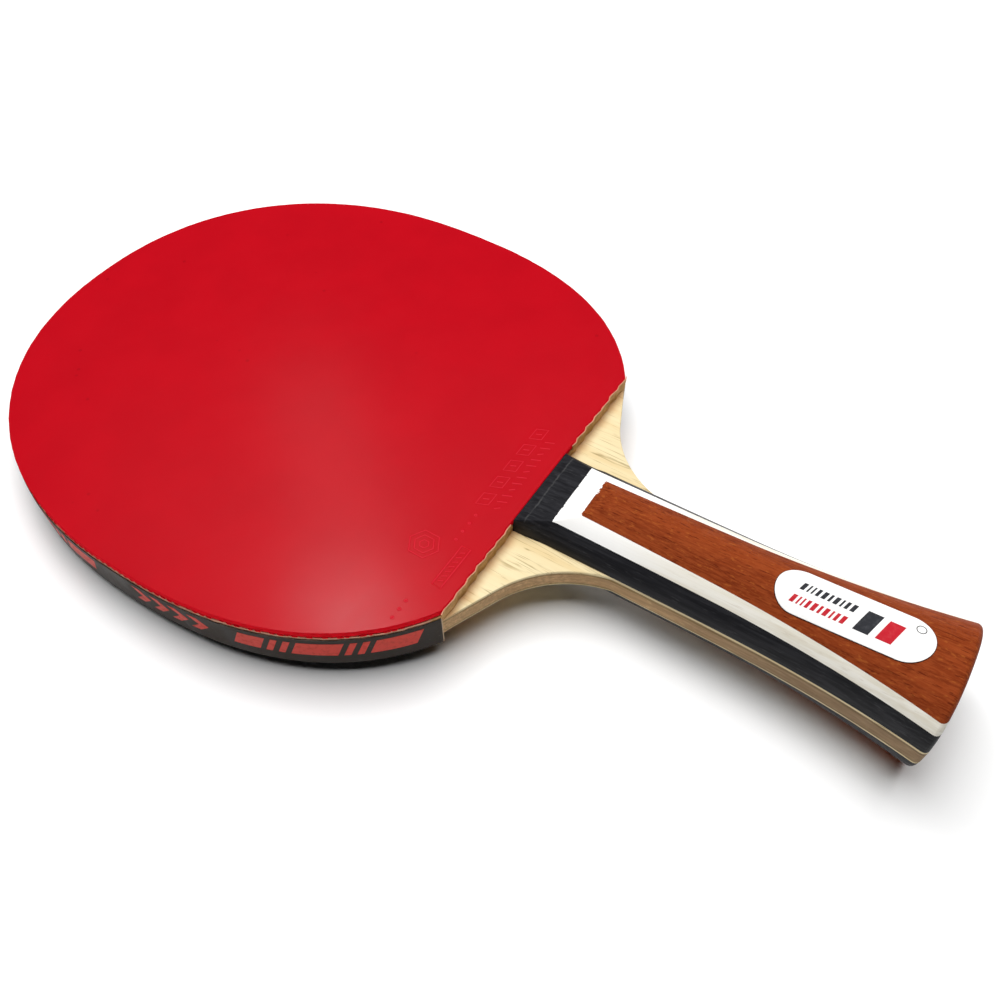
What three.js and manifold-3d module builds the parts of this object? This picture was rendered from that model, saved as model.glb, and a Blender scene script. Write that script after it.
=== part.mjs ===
// A table tennis paddle, built from its glued layers. Millimetres.
// +X runs from the butt of the handle to the tip of the head, +Z out of the red face.
// The origin is the middle of the handle's flat butt end.

import * as THREE from 'three';
import { mergeVertices } from 'three/addons/utils/BufferGeometryUtils.js';
import Module from 'manifold-3d';

const wasm = await Module();
wasm.setup();

// Head outline: two halves of a superellipse that meet at the widest place.
const HANDLE_LENGTH = 100;
const HEAD_CENTRE_X = 174.5;
const HEAD_TIP_X = 258.3;
const HEAD_HALF_WIDTH = 75;
const HEAD_REACH_TO_HANDLE = 84.5;
const TIP_POWER = 2.15;
const SHOULDER_POWER = 2.45;
const HEAD_STEPS = 56;

// Neck: a concave arc out of the handle, then a straight flank up to the shoulder.
const NECK_ARC_X = 67.2;
const NECK_ARC_Y = 42.3;
const NECK_ARC_RADIUS = 29.5;
const NECK_ARC_END = THREE.MathUtils.degToRad(-24);
const NECK_STEPS = 10;
const NECK_ROOT_X = 50;
const NECK_ROOT_HALF_WIDTH = 8;

// Layers, each thickness from the middle of the blade outwards.
const CORE_HALF = 1.6;
const INNER_PLY = 0.6;
const OUTER_PLY = 0.5;
const SPONGE = 1.9;
const TOP_SHEET = 1.9;
const BLADE_HALF = CORE_HALF + INNER_PLY + OUTER_PLY;
const SHEET_BOTTOM = BLADE_HALF + SPONGE;
const SHEET_TOP = SHEET_BOTTOM + TOP_SHEET;

// Edge tape: covers the sponges, the blade and the back rubber, and leaves the front sheet's side bare.
const TAPE_THICKNESS = 0.25;
const TAPE_GLUE = 0.05;
const TAPE_TOP = 4.1;
const TAPE_BOTTOM = -SHEET_TOP;

// Handle: an oval section, waisted in plan and thicker towards the butt.
const WAIST_X = 50;
const WAIST_HALF_WIDTH = 13.6;
const BUTT_HALF_WIDTH = 17.3;
const FRONT_HALF_WIDTH = 13.9;
const FLARE_POWER = 2.5;
const FRONT_HALF_THICKNESS = 11.3;
const BUTT_HALF_THICKNESS = 14.3;
const THICKENING_POWER = 1.6;

// Section roundness, as the power of a superellipse: rounded along the grip, squarer at both ends.
const GRIP_POWER = 1.8;
const BUTT_POWER = 2.35;
const FRONT_POWER = 2.9;
const BUTT_SQUARING = 1.5;
const FRONT_SQUARE_X = 90;
const SECTION_STEPS = 48;
const BUTT_ROUND = 1.6;
const BUTT_ROUND_STEPS = 4;
const GRIP_STEPS = 16;
const FRONT_STEPS = 5;

// Handle laminates: heights of the joints between the black, white and red-brown woods.
const BLACK_TOP = 7.6;
const WHITE_TOP = 9.9;
const HANDLE_CLEAR = 20;
const BUTT_CLEAR = 1;

// Handle front, from the rubber's edge back: upright face, steep facet, ramp, rounded crest.
const FRONT_FACE_TOP = 6.0;
const RIDGE_X = 97.5;
const RIDGE_Z = 7.0;
const RAMP_LOW_X = 91.7;
const RAMP_HIGH_X = 85.9;
const CREST_RADIUS = 18;
const CREST_STEPS = 5;

// Printed label on the front of the handle, a stadium on the crowned wood.
const LABEL_X = 24.3;
const LABEL_Y = 0.6;
const LABEL_HALF_LENGTH = 16.6;
const LABEL_RADIUS = 5.7;
const LABEL_THICKNESS = 0.2;
const LABEL_GLUE = 0.03;
const LABEL_STEPS = 14;

const MERGE_DISTANCE = 1e-4;

const finishes = {
  core: { color: 0xb08d6c, roughness: 0.75 },
  innerPly: { color: 0x8a6a4a, roughness: 0.75 },
  outerPly: { color: 0xead6a4, roughness: 0.6 },
  sponge: { color: 0xe3a36a, roughness: 0.95 },
  redSheet: { color: 0xc8101e, roughness: 0.4 },
  blackSheet: { color: 0x17171a, roughness: 0.4 },
  tape: { color: 0x2c2724, roughness: 0.55 },
  blackWood: { color: 0x1c1d20, roughness: 0.6 },
  whiteWood: { color: 0xf2efe6, roughness: 0.6 },
  redWood: { color: 0x8c3b22, roughness: 0.55 },
  label: { color: 0xfafaf8, roughness: 0.35 },
};

const paddle = new THREE.Group();

function addPiece(name, geometry, finish) {
  const mesh = new THREE.Mesh(geometry, new THREE.MeshStandardMaterial({ metalness: 0, ...finish }));
  mesh.name = name;
  paddle.add(mesh);
}

// Solids ---------------------------------------------------------------------------------------

function solidFrom(geometry) {
  const bare = geometry.clone();
  bare.deleteAttribute('normal');
  bare.deleteAttribute('uv');
  const merged = mergeVertices(bare, MERGE_DISTANCE);
  return new wasm.Manifold(new wasm.Mesh({
    numProp: 3,
    vertProperties: merged.attributes.position.array,
    triVerts: new Uint32Array(merged.index.array),
  }));
}

function geometryFrom(solid) {
  const mesh = solid.getMesh();
  const geometry = new THREE.BufferGeometry();
  geometry.setAttribute('position', new THREE.BufferAttribute(mesh.vertProperties, 3));
  geometry.setIndex(new THREE.BufferAttribute(mesh.triVerts, 1));
  return geometry;
}

function slabOf(points, bottom, top) {
  const outline = new THREE.Shape(points);
  const slab = new THREE.ExtrudeGeometry(outline, { depth: top - bottom, bevelEnabled: false });
  return slab.translate(0, 0, bottom);
}

function levelCut(bottom, top) {
  const block = new THREE.BoxGeometry(2 * HEAD_TIP_X, 2 * HEAD_TIP_X, top - bottom);
  return solidFrom(block.translate(0, 0, (bottom + top) / 2));
}

// Outlines, in the plane of the blade ----------------------------------------------------------

function headHalfWidthAt(x) {
  const tipHalf = x > HEAD_CENTRE_X;
  const reach = tipHalf ? HEAD_TIP_X - HEAD_CENTRE_X : HEAD_REACH_TO_HANDLE;
  const power = tipHalf ? TIP_POWER : SHOULDER_POWER;
  const share = Math.min(1, Math.abs(x - HEAD_CENTRE_X) / reach);
  return HEAD_HALF_WIDTH * (1 - share ** power) ** (1 / power);
}

// The head's edge from one shoulder round the tip to the other, widened by offset.
function headEdge(offset = 0) {
  const shoulder = Math.acos((HANDLE_LENGTH - HEAD_CENTRE_X) / HEAD_REACH_TO_HANDLE);
  const edge = [];
  for (let step = 0; step <= HEAD_STEPS; step += 1) {
    const turn = shoulder * (1 - 2 * step / HEAD_STEPS);
    const reach = Math.cos(turn) > 0 ? HEAD_TIP_X - HEAD_CENTRE_X : HEAD_REACH_TO_HANDLE;
    const x = HEAD_CENTRE_X + reach * Math.cos(turn);
    const y = Math.sign(turn) * headHalfWidthAt(x);
    edge.push(new THREE.Vector2(x, y));
  }
  return offset === 0 ? edge : widened(edge, offset);
}

// Each point moves outwards along the normal of its neighbours; the two end points stay on the cut line.
function widened(edge, offset) {
  return edge.map((point, i) => {
    const before = edge[Math.max(0, i - 1)];
    const after = edge[Math.min(edge.length - 1, i + 1)];
    const along = after.clone().sub(before).normalize();
    const moved = point.clone().add(new THREE.Vector2(-along.y, along.x).multiplyScalar(offset));
    if (i === 0 || i === edge.length - 1) moved.x = point.x;
    return moved;
  });
}

function neckEdge(side) {
  const edge = [new THREE.Vector2(NECK_ROOT_X, side * NECK_ROOT_HALF_WIDTH)];
  for (let step = 0; step <= NECK_STEPS; step += 1) {
    const turn = THREE.MathUtils.lerp(-Math.PI / 2, NECK_ARC_END, step / NECK_STEPS);
    const x = NECK_ARC_X + NECK_ARC_RADIUS * Math.cos(turn);
    const y = NECK_ARC_Y + NECK_ARC_RADIUS * Math.sin(turn);
    edge.push(new THREE.Vector2(x, side * y));
  }
  return edge;
}

// Handle ---------------------------------------------------------------------------------------

function handleHalfWidthAt(x) {
  if (x < WAIST_X) {
    const flare = (1 - x / WAIST_X) ** FLARE_POWER;
    return WAIST_HALF_WIDTH + (BUTT_HALF_WIDTH - WAIST_HALF_WIDTH) * flare;
  }
  const ease = (1 - Math.cos(Math.PI * (x - WAIST_X) / (HANDLE_LENGTH - WAIST_X))) / 2;
  return WAIST_HALF_WIDTH + (FRONT_HALF_WIDTH - WAIST_HALF_WIDTH) * ease;
}

function sectionPowerAt(x) {
  if (x < WAIST_X) return GRIP_POWER + (BUTT_POWER - GRIP_POWER) * (1 - x / WAIST_X) ** BUTT_SQUARING;
  const front = Math.max(0, (x - FRONT_SQUARE_X) / (HANDLE_LENGTH - FRONT_SQUARE_X));
  return GRIP_POWER + (FRONT_POWER - GRIP_POWER) * front ** 2;
}

function handleHalfThicknessAt(x) {
  const rise = (1 - x / HANDLE_LENGTH) ** THICKENING_POWER;
  return FRONT_HALF_THICKNESS + (BUTT_HALF_THICKNESS - FRONT_HALF_THICKNESS) * rise;
}

// Stations along the handle: a rounded butt edge first, then even steps, closer together at the front.
function handleStations() {
  const stations = [];
  for (let step = 0; step < BUTT_ROUND_STEPS; step += 1) {
    const turn = (Math.PI / 2) * (step / BUTT_ROUND_STEPS);
    stations.push({ x: BUTT_ROUND * (1 - Math.cos(turn)), inset: BUTT_ROUND * (1 - Math.sin(turn)) });
  }
  for (let step = 0; step < GRIP_STEPS; step += 1) {
    stations.push({ x: THREE.MathUtils.lerp(BUTT_ROUND, FRONT_SQUARE_X, step / GRIP_STEPS), inset: 0 });
  }
  for (let step = 0; step <= FRONT_STEPS; step += 1) {
    stations.push({ x: THREE.MathUtils.lerp(FRONT_SQUARE_X, HANDLE_LENGTH, step / FRONT_STEPS), inset: 0 });
  }
  return stations;
}

function sectionRing({ x, inset }, extra) {
  const halfWidth = handleHalfWidthAt(x) - inset + extra;
  const halfThickness = handleHalfThicknessAt(x) - inset + extra;
  const bend = 2 / sectionPowerAt(x);
  const ring = [];
  for (let step = 0; step < SECTION_STEPS; step += 1) {
    const turn = 2 * Math.PI * step / SECTION_STEPS;
    const y = Math.sign(Math.cos(turn)) * Math.abs(Math.cos(turn)) ** bend * halfWidth;
    const z = Math.sign(Math.sin(turn)) * Math.abs(Math.sin(turn)) ** bend * halfThickness;
    ring.push([x, y, z]);
  }
  return ring;
}

// The whole grip before it is split into its laminates, grown outwards by extra.
function gripSolid(extra = 0) {
  const rings = handleStations().map((station) => sectionRing(station, extra));
  const last = rings.length - 1;
  const positions = rings.flat(2).concat([0, 0, 0], [HANDLE_LENGTH, 0, 0]);
  const buttCentre = rings.length * SECTION_STEPS;
  const frontCentre = buttCentre + 1;
  const faces = [];
  for (let step = 0; step < SECTION_STEPS; step += 1) {
    const next = (step + 1) % SECTION_STEPS;
    for (let ring = 0; ring < last; ring += 1) {
      const here = ring * SECTION_STEPS;
      const there = here + SECTION_STEPS;
      faces.push(here + step, here + next, there + next);
      faces.push(here + step, there + next, there + step);
    }
    faces.push(buttCentre, next, step);
    faces.push(frontCentre, last * SECTION_STEPS + step, last * SECTION_STEPS + next);
  }
  const geometry = new THREE.BufferGeometry();
  geometry.setAttribute('position', new THREE.Float32BufferAttribute(positions, 3));
  geometry.setIndex(faces);
  return solidFrom(geometry);
}

// Side view of the shaped front of the handle, upper half, from the crest down to the rubber's edge.
function frontProfile() {
  const slope = Math.atan2(WHITE_TOP - BLACK_TOP, RAMP_LOW_X - RAMP_HIGH_X);
  const crestZ = handleHalfThicknessAt(RAMP_HIGH_X);
  const profile = [];
  const tangent = CREST_RADIUS * Math.tan(slope / 2);
  const meetX = RAMP_HIGH_X - (crestZ - WHITE_TOP) / Math.tan(slope);
  for (let step = 0; step <= CREST_STEPS; step += 1) {
    const turn = slope * step / CREST_STEPS;
    const x = meetX - tangent + CREST_RADIUS * Math.sin(turn);
    const z = crestZ - CREST_RADIUS * (1 - Math.cos(turn));
    profile.push([x, z]);
  }
  profile.push([RAMP_LOW_X, BLACK_TOP], [RIDGE_X, RIDGE_Z], [HANDLE_LENGTH, FRONT_FACE_TOP]);
  return profile;
}

function frontCut() {
  const upper = frontProfile();
  const crest = upper[0];
  const outline = [[-BUTT_CLEAR, HANDLE_CLEAR], [crest[0] - HANDLE_CLEAR, HANDLE_CLEAR], ...upper];
  const lower = outline.map(([x, z]) => [x, -z]).reverse();
  const points = outline.concat(lower).map(([x, z]) => new THREE.Vector2(x, z));
  const shape = new THREE.Shape(points);
  const prism = new THREE.ExtrudeGeometry(shape, { depth: 2 * HANDLE_CLEAR, bevelEnabled: false });
  return solidFrom(prism.rotateX(Math.PI / 2).translate(0, HANDLE_CLEAR, 0));
}

// Pieces ---------------------------------------------------------------------------------------

const grip = gripSolid();
const shapedGrip = grip.intersect(frontCut());

function addBladePlies() {
  const nearNeck = neckEdge(1);
  const farNeck = neckEdge(-1).reverse();
  const outline = [...nearNeck, ...headEdge(), ...farNeck];
  const plies = [
    ['blade_core_ply', -CORE_HALF, CORE_HALF, finishes.core],
    ['blade_front_inner_ply', CORE_HALF, CORE_HALF + INNER_PLY, finishes.innerPly],
    ['blade_back_inner_ply', -CORE_HALF - INNER_PLY, -CORE_HALF, finishes.innerPly],
    ['blade_front_outer_ply', CORE_HALF + INNER_PLY, BLADE_HALF, finishes.outerPly],
    ['blade_back_outer_ply', -BLADE_HALF, -CORE_HALF - INNER_PLY, finishes.outerPly],
  ];
  for (const [name, bottom, top, finish] of plies) {
    const head = solidFrom(slabOf(outline, bottom, top));
    const tongue = grip.intersect(levelCut(bottom, top));
    addPiece(name, geometryFrom(head.add(tongue)), finish);
  }
}

function addRubbers() {
  const sheets = [
    ['front_sponge', BLADE_HALF, SHEET_BOTTOM, finishes.sponge],
    ['front_top_sheet', SHEET_BOTTOM, SHEET_TOP, finishes.redSheet],
    ['back_sponge', -SHEET_BOTTOM, -BLADE_HALF, finishes.sponge],
    ['back_top_sheet', -SHEET_TOP, -SHEET_BOTTOM, finishes.blackSheet],
  ];
  for (const [name, bottom, top, finish] of sheets) {
    addPiece(name, slabOf(headEdge(), bottom, top), finish);
  }
}

function addEdgeTape() {
  const inner = headEdge(TAPE_GLUE);
  const outer = headEdge(TAPE_GLUE + TAPE_THICKNESS);
  addPiece('edge_tape', slabOf([...outer, ...inner.reverse()], TAPE_BOTTOM, TAPE_TOP), finishes.tape);
}

function addHandleScales() {
  const woods = [
    ['black_base', BLADE_HALF, BLACK_TOP, finishes.blackWood],
    ['white_layer', BLACK_TOP, WHITE_TOP, finishes.whiteWood],
    ['redwood_top', WHITE_TOP, HANDLE_CLEAR, finishes.redWood],
  ];
  for (const [wood, bottom, top, finish] of woods) {
    addPiece(`front_handle_${wood}`, geometryFrom(shapedGrip.intersect(levelCut(bottom, top))), finish);
    addPiece(`back_handle_${wood}`, geometryFrom(shapedGrip.intersect(levelCut(-top, -bottom))), finish);
  }
}

function addLabel() {
  const flank = LABEL_HALF_LENGTH - LABEL_RADIUS;
  const outline = [];
  for (const end of [1, -1]) {
    for (let step = 0; step <= LABEL_STEPS; step += 1) {
      const turn = Math.PI * (step / LABEL_STEPS - 0.5);
      const x = LABEL_X + end * (flank + LABEL_RADIUS * Math.cos(turn));
      outline.push(new THREE.Vector2(x, LABEL_Y + end * LABEL_RADIUS * Math.sin(turn)));
    }
  }
  const stamp = solidFrom(slabOf(outline, WHITE_TOP, HANDLE_CLEAR));
  const paper = gripSolid(LABEL_GLUE + LABEL_THICKNESS).subtract(gripSolid(LABEL_GLUE));
  addPiece('handle_label', geometryFrom(stamp.intersect(paper)), finishes.label);
}

addBladePlies();
addRubbers();
addEdgeTape();
addHandleScales();
addLabel();

export default paddle;
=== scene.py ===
from bisect import bisect_right
from math import acos, asin, atan2, copysign, cos, exp, pi, radians, sin, sqrt, tan

import bmesh
import bpy
from mathutils import Matrix, Vector, noise


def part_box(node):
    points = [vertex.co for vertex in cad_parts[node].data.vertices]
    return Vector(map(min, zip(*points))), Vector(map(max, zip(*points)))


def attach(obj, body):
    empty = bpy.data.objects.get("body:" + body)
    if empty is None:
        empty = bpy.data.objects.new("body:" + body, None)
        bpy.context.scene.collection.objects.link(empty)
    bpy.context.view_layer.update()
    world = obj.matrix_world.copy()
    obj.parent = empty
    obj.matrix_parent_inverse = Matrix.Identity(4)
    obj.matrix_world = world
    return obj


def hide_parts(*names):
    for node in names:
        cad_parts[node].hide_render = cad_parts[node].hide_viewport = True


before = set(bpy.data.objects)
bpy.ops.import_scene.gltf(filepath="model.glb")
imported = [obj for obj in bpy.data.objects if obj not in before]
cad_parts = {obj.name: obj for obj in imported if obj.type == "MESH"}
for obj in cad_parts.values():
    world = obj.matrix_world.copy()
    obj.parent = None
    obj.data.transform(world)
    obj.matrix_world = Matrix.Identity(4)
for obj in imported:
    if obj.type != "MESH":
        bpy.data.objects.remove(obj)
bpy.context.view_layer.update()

# A table tennis paddle made of its glued layers. Metres. +X runs from the butt of the handle to the
# tip of the head, +Z out of the red face, and the origin is the middle of the butt end.

# Sizes read from the frame ------------

sheet_low, sheet_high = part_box("front_top_sheet")
outer_low, outer_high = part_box("blade_front_outer_ply")
tape_low, tape_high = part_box("edge_tape")
label_low, label_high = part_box("handle_label")

HANDLE_LENGTH = sheet_low.x
HEAD_TIP_X = sheet_high.x
HEAD_HALF_WIDTH = sheet_high.y
SHEET_BOTTOM = sheet_low.z
SHEET_TOP = sheet_high.z
CORE_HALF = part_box("blade_core_ply")[1].z
INNER_TOP = outer_low.z
BLADE_HALF = outer_high.z
BLACK_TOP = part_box("front_handle_black_base")[1].z
WHITE_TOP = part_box("front_handle_white_layer")[1].z
TAPE_TOP = tape_high.z
TAPE_BOTTOM = tape_low.z
LABEL_X = (label_low.x + label_high.x) / 2
LABEL_Y = (label_low.y + label_high.y) / 2
LABEL_HALF_LENGTH = (label_high.x - label_low.x) / 2
LABEL_HALF_WIDTH = (label_high.y - label_low.y) / 2

# Shape of the outlines, as in the CAD ------------------------------------------------------------

HEAD_CENTRE_X = 0.1745
HEAD_REACH_TO_HANDLE = 0.0845
TIP_POWER = 2.15
SHOULDER_POWER = 2.45

NECK_ARC_X = 0.0672
NECK_ARC_Y = 0.0423
NECK_ARC_RADIUS = 0.0295
NECK_ARC_END = radians(-24)

WAIST_X = 0.050
WAIST_HALF_WIDTH = 0.0136
BUTT_HALF_WIDTH = 0.0173
FRONT_HALF_WIDTH = 0.0139
FLARE_POWER = 2.5
FRONT_HALF_THICKNESS = 0.0113
BUTT_HALF_THICKNESS = 0.0143
THICKENING_POWER = 1.6
GRIP_POWER = 1.8
BUTT_POWER = 2.35
FRONT_POWER = 3.6
FAR_FRONT_POWER = 1.95
BUTT_SQUARING = 1.5
FRONT_SQUARE_X = 0.090
BUTT_ROUND = 0.0016

FRONT_FACE_TOP = 0.00635
RIDGE_X = 0.0975
RIDGE_Z = 0.0070
RAMP_LOW_X = 0.0917
RAMP_HIGH_X = 0.0862
CREST_RADIUS = 0.018

# Looks ------------

SHEET_BODY = 0.0015          # the solid part of a top sheet; the rest of it is its pimples
SHEET_SOFTENING = 0.00022    # the rounding of its outer edge
PIMPLE_PITCH = 0.00196
PIMPLE_FOOT = 0.00078
PIMPLE_HEAD = 0.00055
PIMPLE_SIDES = 10
PIMPLE_MARGIN = 0.0042       # pimples are made this far in from the edge, where they can show
PIMPLE_CLIP = 0.0030         # and none comes nearer to the handle than this
SCALLOP_DEPTH = 0.00050
SCALLOP_PITCH = 0.0043
CUT_OVERHANG = 0.00018       # how far the cut beside the handle comes past the handle's front
BACK_CUT_SETBACK = 0.0016    # the back rubber is cut this much further from the handle beside it
LIP_DEPTH = 0.00030          # how far the foam stands out under the sheet beside the handle
LIP_DROP = 0.00040           # and how far its top is below the playing face
LIP_START = 0.0008           # the lip starts this far beside the handle's front
MARK_WIDTH = 0.00060
MARK_HEIGHT = 0.00010
TAPE_GLUE = 0.00005
TAPE_THICKNESS = 0.00025
PRINT_THICKNESS = 0.00003
PRINT_STEPS = 4              # faces along a printed mark
BLACK_SWELL = 0.00030
LABEL_LIFT = 0.00018
LABEL_RIM = 0.00016
FLOOR_RADIUS = 0.62
FLOOR_CORNERS = 64
FLOOR_GAP = 0.0002

CAMERA_PLACE = Vector((0.03293, 0.12205, 0.17646))
CAMERA_AIM = Vector((0.11081, 0.01590, 0.0))
CAMERA_ROLL = -0.0570
CAMERA_LENS = 32.06
CAMERA_SHIFT = (0.0289, 0.0237)


# Outlines ------------

def clamp(share):
    return min(1.0, max(0.0, share))


def spread(start, end, steps):
    """steps + 1 even values from start to end."""
    return [start + (end - start) * step / steps for step in range(steps + 1)]


def head_half_width(x):
    tip_half = x > HEAD_CENTRE_X
    reach = HEAD_TIP_X - HEAD_CENTRE_X if tip_half else HEAD_REACH_TO_HANDLE
    power = TIP_POWER if tip_half else SHOULDER_POWER
    share = min(1.0, abs(x - HEAD_CENTRE_X) / reach)
    return HEAD_HALF_WIDTH * (1 - share ** power) ** (1 / power)


def neck_half_width(x):
    """The concave arc out of the handle, then the straight flank up to the shoulder."""
    arc_end_x = NECK_ARC_X + NECK_ARC_RADIUS * cos(NECK_ARC_END)
    arc_end_y = NECK_ARC_Y + NECK_ARC_RADIUS * sin(NECK_ARC_END)
    if x < NECK_ARC_X:
        return 0.0
    if x < arc_end_x:
        return NECK_ARC_Y - sqrt(NECK_ARC_RADIUS ** 2 - (x - NECK_ARC_X) ** 2)
    share = (x - arc_end_x) / (HANDLE_LENGTH - arc_end_x)
    return arc_end_y + share * (head_half_width(HANDLE_LENGTH) - arc_end_y)


def handle_half_width(x):
    if x < WAIST_X:
        return WAIST_HALF_WIDTH + (BUTT_HALF_WIDTH - WAIST_HALF_WIDTH) * (1 - x / WAIST_X) ** FLARE_POWER
    ease = (1 - cos(pi * (x - WAIST_X) / (HANDLE_LENGTH - WAIST_X))) / 2
    return WAIST_HALF_WIDTH + (FRONT_HALF_WIDTH - WAIST_HALF_WIDTH) * ease


def handle_half_thickness(x):
    rise = max(0.0, 1 - x / HANDLE_LENGTH) ** THICKENING_POWER
    return FRONT_HALF_THICKNESS + (BUTT_HALF_THICKNESS - FRONT_HALF_THICKNESS) * rise


def section_power(x, way=1):
    """How square the section is. At the front the far side, way -1, is sanded rounder."""
    if x < WAIST_X:
        return GRIP_POWER + (BUTT_POWER - GRIP_POWER) * (1 - x / WAIST_X) ** BUTT_SQUARING
    front = max(0.0, (x - FRONT_SQUARE_X) / (HANDLE_LENGTH - FRONT_SQUARE_X))
    squarest = FRONT_POWER if way > 0 else FAR_FRONT_POWER
    return GRIP_POWER + (squarest - GRIP_POWER) * front ** 2


def butt_inset(x):
    """How far the rounded butt edge stands in from the full section."""
    if x >= BUTT_ROUND:
        return 0.0
    return BUTT_ROUND - sqrt(BUTT_ROUND ** 2 - (BUTT_ROUND - x) ** 2)


def butt_stations():
    """The x stations of the rounded butt edge."""
    return [BUTT_ROUND * (1 - cos(turn)) for turn in spread(0, pi / 2, 6)]


def section_half_width(x, z, way=1):
    """Half the handle's width at height z."""
    inset = butt_inset(x)
    power = section_power(x, way)
    share = min(1.0, abs(z) / (handle_half_thickness(x) - inset))
    return (handle_half_width(x) - inset) * (1 - share ** power) ** (1 / power)


def crown_height(x, y):
    """Height of the uncut handle above the point (x, y)."""
    inset = butt_inset(x)
    power = section_power(x, copysign(1, y))
    share = min(1.0, abs(y) / (handle_half_width(x) - inset))
    return (handle_half_thickness(x) - inset) * (1 - share ** power) ** (1 / power)


RAMP_SLOPE = atan2(WHITE_TOP - BLACK_TOP, RAMP_LOW_X - RAMP_HIGH_X)
CREST_Z = handle_half_thickness(RAMP_HIGH_X)
CREST_END_X = RAMP_HIGH_X - (CREST_Z - WHITE_TOP) / tan(RAMP_SLOPE)
CREST_START_X = CREST_END_X - CREST_RADIUS * tan(RAMP_SLOPE / 2)


def front_cut_height(x):
    """Height of the shaped handle front: crest arc, ramp, ridge and steep facet."""
    if x < CREST_START_X:
        return BUTT_HALF_THICKNESS
    crest_turn = asin(min(1.0, (x - CREST_START_X) / CREST_RADIUS))
    if crest_turn < RAMP_SLOPE:
        return CREST_Z - CREST_RADIUS * (1 - cos(crest_turn))
    if x < RAMP_LOW_X:
        return WHITE_TOP - (x - RAMP_HIGH_X) * tan(RAMP_SLOPE)
    if x < RIDGE_X:
        return BLACK_TOP + (x - RAMP_LOW_X) / (RIDGE_X - RAMP_LOW_X) * (RIDGE_Z - BLACK_TOP)
    return RIDGE_Z + (x - RIDGE_X) / (HANDLE_LENGTH - RIDGE_X) * (FRONT_FACE_TOP - RIDGE_Z)


def wobble(place, size, seed):
    """Smooth noise from -1 to 1 along a line, with features of about that size."""
    return noise.noise(Vector((place / size, 7.3 * seed, 0.5)))


class EdgeWalk:
    """The head's edge from the near shoulder round the tip to the far one, by distance walked."""

    SAMPLES = 1600

    def __init__(self):
        shoulder = acos((HANDLE_LENGTH - HEAD_CENTRE_X) / HEAD_REACH_TO_HANDLE)
        self.points = []
        for step in range(self.SAMPLES + 1):
            turn = shoulder * (1 - 2 * step / self.SAMPLES)
            reach = HEAD_TIP_X - HEAD_CENTRE_X if cos(turn) > 0 else HEAD_REACH_TO_HANDLE
            x = HEAD_CENTRE_X + reach * cos(turn)
            self.points.append(Vector((x, copysign(head_half_width(x), turn))))
        self.walked = [0.0]
        for before, after in zip(self.points, self.points[1:]):
            self.walked.append(self.walked[-1] + (after - before).length)
        self.length = self.walked[-1]

    def at(self, distance, offset=0.0):
        """The point that far along, moved outwards by offset. At both ends it stays on the cut line."""
        index = min(max(bisect_right(self.walked, distance) - 1, 0), self.SAMPLES - 1)
        start, end = self.points[index], self.points[index + 1]
        share = (distance - self.walked[index]) / (self.walked[index + 1] - self.walked[index])
        before = self.points[max(0, index - 2)]
        after = self.points[min(self.SAMPLES, index + 3)]
        along = (after - before).normalized()
        point = start.lerp(end, share) + Vector((-along.y, along.x)) * offset
        return Vector((max(point.x, HANDLE_LENGTH), point.y))


edge = EdgeWalk()


# Mesh building ------------

def add_object(name, data):
    made = bpy.data.objects.new(name, data)
    bpy.context.scene.collection.objects.link(made)
    return made


class Form:
    """The vertices and faces of one piece, gathered from lofts."""

    def __init__(self):
        self.vertices = []
        self.faces = []

    def loft(self, loops, ring=False):
        """Skins closed loops of equal count one after another. A ring joins the last to the first."""
        count = len(loops[0])
        start = len(self.vertices)
        for loop in loops:
            self.vertices.extend(Vector(point) for point in loop)
        for here in range(len(loops) - (0 if ring else 1)):
            there = (here + 1) % len(loops)
            for i in range(count):
                j = (i + 1) % count
                self.faces.append(tuple(start + k for k in (
                    here * count + i, here * count + j, there * count + j, there * count + i)))
        if not ring:
            self.faces.append(tuple(start + i for i in range(count)))
            self.faces.append(tuple(start + (len(loops) - 1) * count + i for i in range(count)))

    def piece(self, name, material, slot, *stands_for, crease=28, wall_material=None):
        """Makes the object: outward faces, smooth shading with creases, riding on the one body."""
        mesh = bpy.data.meshes.new(name)
        mesh.from_pydata(self.vertices, [], self.faces)
        work = bmesh.new()
        work.from_mesh(mesh)
        bmesh.ops.remove_doubles(work, verts=work.verts, dist=1e-7)
        bmesh.ops.dissolve_degenerate(work, dist=1e-7, edges=work.edges)
        bmesh.ops.recalc_face_normals(work, faces=work.faces)
        for side in work.edges:
            flat_cap = any(len(face.verts) > 8 for face in side.link_faces)
            soft = len(side.link_faces) == 2 and side.calc_face_angle(0) < radians(crease)
            side.smooth = soft and not flat_cap
        for face in work.faces:
            face.smooth = True
        work.to_mesh(mesh)
        work.free()
        made = add_object(name, mesh)
        mesh.materials.append(material)
        if wall_material:
            mesh.materials.append(wall_material)
            for polygon in mesh.polygons:
                polygon.material_index = int(abs(polygon.normal.z) < 0.6)
        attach(made, "root")
        if stands_for:
            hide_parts(*stands_for)


def shell(form, rows, place, lift, ring=False):
    """A thin film over a surface: rows of flat points, put in place at lift above it and sunk below."""
    loops = []
    for row in rows:
        above = [place(a, b, lift) for a, b in row]
        below = [place(a, b, -lift) for a, b in row]
        loops.append(above + below[::-1])
    form.loft(loops, ring=ring)


def quad_rows(corners, across, along):
    """Rows of points filling the quadrilateral of four corners."""
    first, second, third, fourth = [Vector(corner) for corner in corners]
    rows = []
    for u in spread(0, 1, along):
        low, high = first.lerp(fourth, u), second.lerp(third, u)
        rows.append([tuple(low.lerp(high, v)) for v in spread(0, 1, across)])
    return rows


# Materials ------------

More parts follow.
